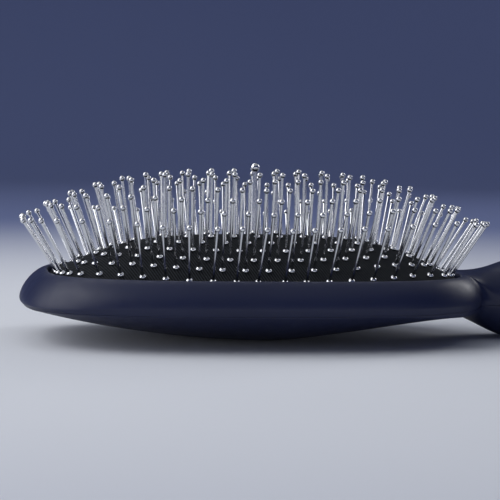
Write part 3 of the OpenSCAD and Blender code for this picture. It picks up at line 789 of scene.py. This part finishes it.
class Finish:
    """A material and short calls for the nodes that it is made of."""

    def __init__(self, name, roughness=0.5, metallic=0.0, **constants):
        self.material = bpy.data.materials.new(name)
        self.material.use_nodes = True
        self.nodes = self.material.node_tree.nodes
        self.links = self.material.node_tree.links
        self.shader = self.nodes["Principled BSDF"]
        self.place = self.nodes.new("ShaderNodeTexCoord").outputs["Object"]
        self.shader.inputs["Roughness"].default_value = roughness
        self.shader.inputs["Metallic"].default_value = metallic
        for key, value in constants.items():
            self.shader.inputs[key.replace("_", " ")].default_value = value

    def place_along(self):
        """Outputs of the place's three coordinates, X, Y and Z, in metres."""
        split = self.nodes.new("ShaderNodeSeparateXYZ")
        self.links.new(self.place, split.inputs["Vector"])
        return split.outputs

    def noise(self, size_mm, detail=3.0):
        node = self.nodes.new("ShaderNodeTexNoise")
        node.inputs["Scale"].default_value = 1 / (size_mm * MM)
        node.inputs["Detail"].default_value = detail
        node.inputs["Roughness"].default_value = NOISE_ROUGHNESS
        self.links.new(self.place, node.inputs["Vector"])
        return node.outputs["Fac"]

    def spots(self, cell_mm, radius_share, kept_share):
        """Few small round spots, one in some of the cells."""
        node = self.nodes.new("ShaderNodeTexVoronoi")
        node.inputs["Scale"].default_value = 1 / (cell_mm * MM)
        self.links.new(self.place, node.inputs["Vector"])
        near = self.math("LESS_THAN", node.outputs["Distance"], radius_share)
        split = self.nodes.new("ShaderNodeSeparateColor")
        self.links.new(node.outputs["Color"], split.inputs["Color"])
        kept = self.math("LESS_THAN", split.outputs["Red"], kept_share)
        return self.math("MULTIPLY", near, kept)

    def math(self, operation, *values):
        node = self.nodes.new("ShaderNodeMath")
        node.operation = operation
        for socket, value in zip(node.inputs, values):
            if isinstance(value, (int, float)):
                socket.default_value = value
            else:
                self.links.new(value, socket)
        return node.outputs[0]

    def between(self, share, low, high, first=0.3, last=0.7):
        """Eases from low to high as the share goes from first to last."""
        node = self.nodes.new("ShaderNodeMapRange")
        node.interpolation_type = "SMOOTHSTEP"
        node.inputs["From Min"].default_value = first
        node.inputs["From Max"].default_value = last
        node.inputs["To Min"].default_value = low
        node.inputs["To Max"].default_value = high
        self.links.new(share, node.inputs["Value"])
        return node.outputs["Result"]

    def mix(self, share, first, second):
        """A colour between two, each a colour or another node's output."""
        node = self.nodes.new("ShaderNodeMix")
        node.data_type = "RGBA"
        sockets = [socket for socket in node.inputs if socket.type == "RGBA"]
        self.links.new(share, node.inputs["Factor"])
        for socket, value in zip(sockets, (first, second)):
            if isinstance(value, tuple):
                socket.default_value = value
            else:
                self.links.new(value, socket)
        return [socket for socket in node.outputs if socket.type == "RGBA"][0]

    def bump(self, height, depth_mm, before=None):
        node = self.nodes.new("ShaderNodeBump")
        node.inputs["Distance"].default_value = depth_mm * MM
        node.inputs["Strength"].default_value = 1.0
        self.links.new(height, node.inputs["Height"])
        if before:
            self.links.new(before, node.inputs["Normal"])
        return node.outputs["Normal"]

    def set(self, **sockets):
        for key, value in sockets.items():
            self.links.new(value, self.shader.inputs[key.replace("_", " ")])
        return self.material


def soft_touch(name):
    """Matte rubbery lacquer over navy plastic, with a few specks of dust."""
    finish = Finish(name, Specular_IOR_Level=0.4)
    cloudy = finish.mix(finish.noise(size_mm=22), colour(23, 30, 60), colour(28, 35, 67))
    dust = finish.spots(cell_mm=6.0, radius_share=0.028, kept_share=0.26)
    dusty = finish.mix(dust, cloudy, colour(128, 134, 160))
    fine = finish.bump(finish.noise(size_mm=0.16, detail=2), depth_mm=0.006)
    soft = finish.bump(finish.noise(size_mm=1.6), depth_mm=0.012, before=fine)
    roughness = finish.between(finish.noise(size_mm=3.5), low=0.4, high=0.48)
    return finish.set(Base_Color=dusty, Roughness=roughness, Normal=soft)


def rubber():
    """Dull black rubber with painted shade in the grooves between its ribs, so that its crests look
    paler, and specks of dust.
    """
    finish = Finish("rubber", Specular_IOR_Level=0.14)
    place = finish.place_along()
    turn = 2 * math.pi / (RIB_PITCH * MM)
    across = finish.math("MULTIPLY", place["Y"], turn * math.sin(RIB_ANGLE))
    across = finish.math("MULTIPLY_ADD", place["X"], turn * math.cos(RIB_ANGLE), across)
    # Painted shade: the grooves between the ribs are painted nearly black, as the shade that falls in
    # them, and the crests keep the rubber's own tone
    unshaded_crest = finish.between(finish.math("COSINE", across), low=0.0, high=1.0, first=-0.5, last=0.5)
    tone = finish.mix(finish.noise(size_mm=9), colour(34, 37, 42), colour(42, 46, 52))
    tone = finish.mix(unshaded_crest, colour(2, 3, 4), tone)
    dust = finish.spots(cell_mm=3.5, radius_share=0.03, kept_share=0.12)
    dusty = finish.mix(dust, tone, colour(95, 98, 105))
    grain = finish.bump(finish.noise(size_mm=0.14), depth_mm=0.015)
    roughness = finish.between(finish.noise(size_mm=1.2), low=0.68, high=0.82)
    return finish.set(Base_Color=dusty, Roughness=roughness, Normal=grain)


def polished_steel():
    finish = Finish("pin_steel", metallic=1.0)
    tone = finish.mix(finish.noise(size_mm=4), colour(216, 217, 220), colour(232, 233, 234))
    roughness = finish.between(finish.noise(size_mm=5), low=0.1, high=0.15)
    return finish.set(Base_Color=tone, Roughness=roughness)


# Distance in which the threads of the backing repeat
THREAD_PITCH = 0.5


def woven_cloth():
    finish = Finish("backing", roughness=0.9)
    place = finish.place_along()
    turn = 2 * math.pi / (THREAD_PITCH * MM)
    warp = finish.math("SINE", finish.math("MULTIPLY", place["X"], turn))
    weft = finish.math("SINE", finish.math("MULTIPLY", place["Y"], turn))
    weave = finish.math("MULTIPLY_ADD", finish.math("MULTIPLY", warp, weft), 0.5, 0.5)
    tone = finish.mix(weave, colour(60, 60, 64), colour(92, 92, 98))
    return finish.set(Base_Color=tone, Normal=finish.bump(weave, depth_mm=0.08))


def moulded_plate():
    finish = Finish("plate")
    tone = finish.mix(finish.noise(size_mm=6), colour(22, 22, 25), colour(32, 32, 36))
    roughness = finish.between(finish.noise(size_mm=0.5), low=0.42, high=0.58)
    grain = finish.bump(finish.noise(size_mm=0.3), depth_mm=0.01)
    return finish.set(Base_Color=tone, Roughness=roughness, Normal=grain)


# Stage: a round floor that curves up into a backdrop, pale around the brush and blue far off
FLOOR_RINGS, FLOOR_R, CURVE_R, STAGE_H = (250.0, 600.0), 1100.0, 500.0, 1700.0
CURVE_STEPS, STAGE_COLUMNS = 12, 96
PALE_R, BLUE_R = 100.0, 550.0


def stage():
    finish = Finish("stage", roughness=0.9)
    distance = finish.nodes.new("ShaderNodeVectorMath")
    distance.operation = "LENGTH"
    finish.links.new(finish.place, distance.inputs[0])
    away = finish.between(distance.outputs["Value"], 0.0, 1.0, PALE_R * MM, BLUE_R * MM)
    pale = finish.mix(finish.noise(size_mm=180), colour(226, 229, 236), colour(231, 234, 240))
    material = finish.set(Base_Color=finish.mix(away, pale, colour(104, 116, 158)))
    profile = [(r, 0.0) for r in (*FLOOR_RINGS, FLOOR_R)]
    profile += [(FLOOR_R + CURVE_R * math.sin(t), CURVE_R * (1 - math.cos(t)))
                for t in np.linspace(0, math.pi / 2, CURVE_STEPS + 1)[1:]]
    profile.append((FLOOR_R + CURVE_R, STAGE_H))
    rows = [[(r * math.cos(t), r * math.sin(t), z) for t in turns(STAGE_COLUMNS)] for r, z in profile]
    builder = Builder()
    builder.grid(rows, closed=True)
    builder.fan(rows[0], (0, 0, 0))
    new_object("stage", new_mesh("stage", builder), material)


# Softboxes, in metres and watts: name, place, aimed place, size and power
SOFTBOXES = (
    ("left_box", (-0.78, -0.08, 0.5), (0, 0, 0.02), (0.95, 0.95), 7.2),
    ("right_box", (0.78, 0.48, 0.4), (0, 0, 0.02), (0.3, 0.5), 1.9),
    ("low_box", (0.1, -1.15, 0.14), (0, 0, 0.01), (1.7, 0.16), 1.2),
    ("top_box", (-0.3, 0.45, 0.85), (0, 0, 0.03), (0.7, 0.4), 1.0),
)
SKY_COLOUR, SKY_STRENGTH = (0.9, 0.94, 1.0, 1), 0.38


def softbox(name, place, target, size, power_w):
    data = bpy.data.lights.new(name, "AREA")
    data.shape = "RECTANGLE"
    data.size, data.size_y = size
    data.energy = power_w
    obj = bpy.data.objects.new(name, data)
    obj.location = place
    obj.rotation_euler = (Vector(target) - Vector(place)).to_track_quat("-Z", "Y").to_euler()
    bpy.context.scene.collection.objects.link(obj)


def lights():
    world = bpy.data.worlds.new("soft_sky")
    world.use_nodes = True
    sky = world.node_tree.nodes["Background"]
    sky.inputs["Color"].default_value = SKY_COLOUR
    sky.inputs["Strength"].default_value = SKY_STRENGTH
    bpy.context.scene.world = world
    for box in SOFTBOXES:
        softbox(*box)


# Camera, measured in the photograph: distance, turn, height and roll about the aimed place
AIM = (-1.0, 0.0, 23.4)
DISTANCE, TURN, RISE, ROLL = 447.0, math.radians(-9), math.radians(4.4), math.radians(1.08)
FOCAL_PX, FRAME_PX, SENSOR_MM = 1665.5, 500, 36.0
CLIP_START_M = 0.01


def camera():
    back = Vector((math.sin(TURN) * math.cos(RISE), -math.cos(TURN) * math.cos(RISE), math.sin(RISE)))
    right = Vector((0, 0, 1)).cross(back).normalized()
    up = back.cross(right)
    turned = Matrix((right, up, back)).transposed() @ Matrix.Rotation(ROLL, 3, "Z")
    data = bpy.data.cameras.new("camera")
    data.sensor_width = SENSOR_MM
    data.lens = FOCAL_PX * SENSOR_MM / FRAME_PX
    data.clip_start = CLIP_START_M
    obj = bpy.data.objects.new("camera", data)
    place = (Vector(AIM) + back * DISTANCE) * MM
    obj.matrix_world = Matrix.Translation(place) @ turned.to_4x4()
    bpy.context.scene.collection.objects.link(obj)
    bpy.context.scene.camera = obj


camera()
lights()
stage()
front_shell(soft_touch("soft_touch_front"))
back_shell(soft_touch("soft_touch_back"))
cushion(rubber())
pad_backing(woven_cloth())
all_pins(polished_steel())
plate = moulded_plate()
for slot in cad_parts["base_plate"].material_slots:
    slot.material = plate

bpy.context.scene.view_settings.view_transform = "Standard"
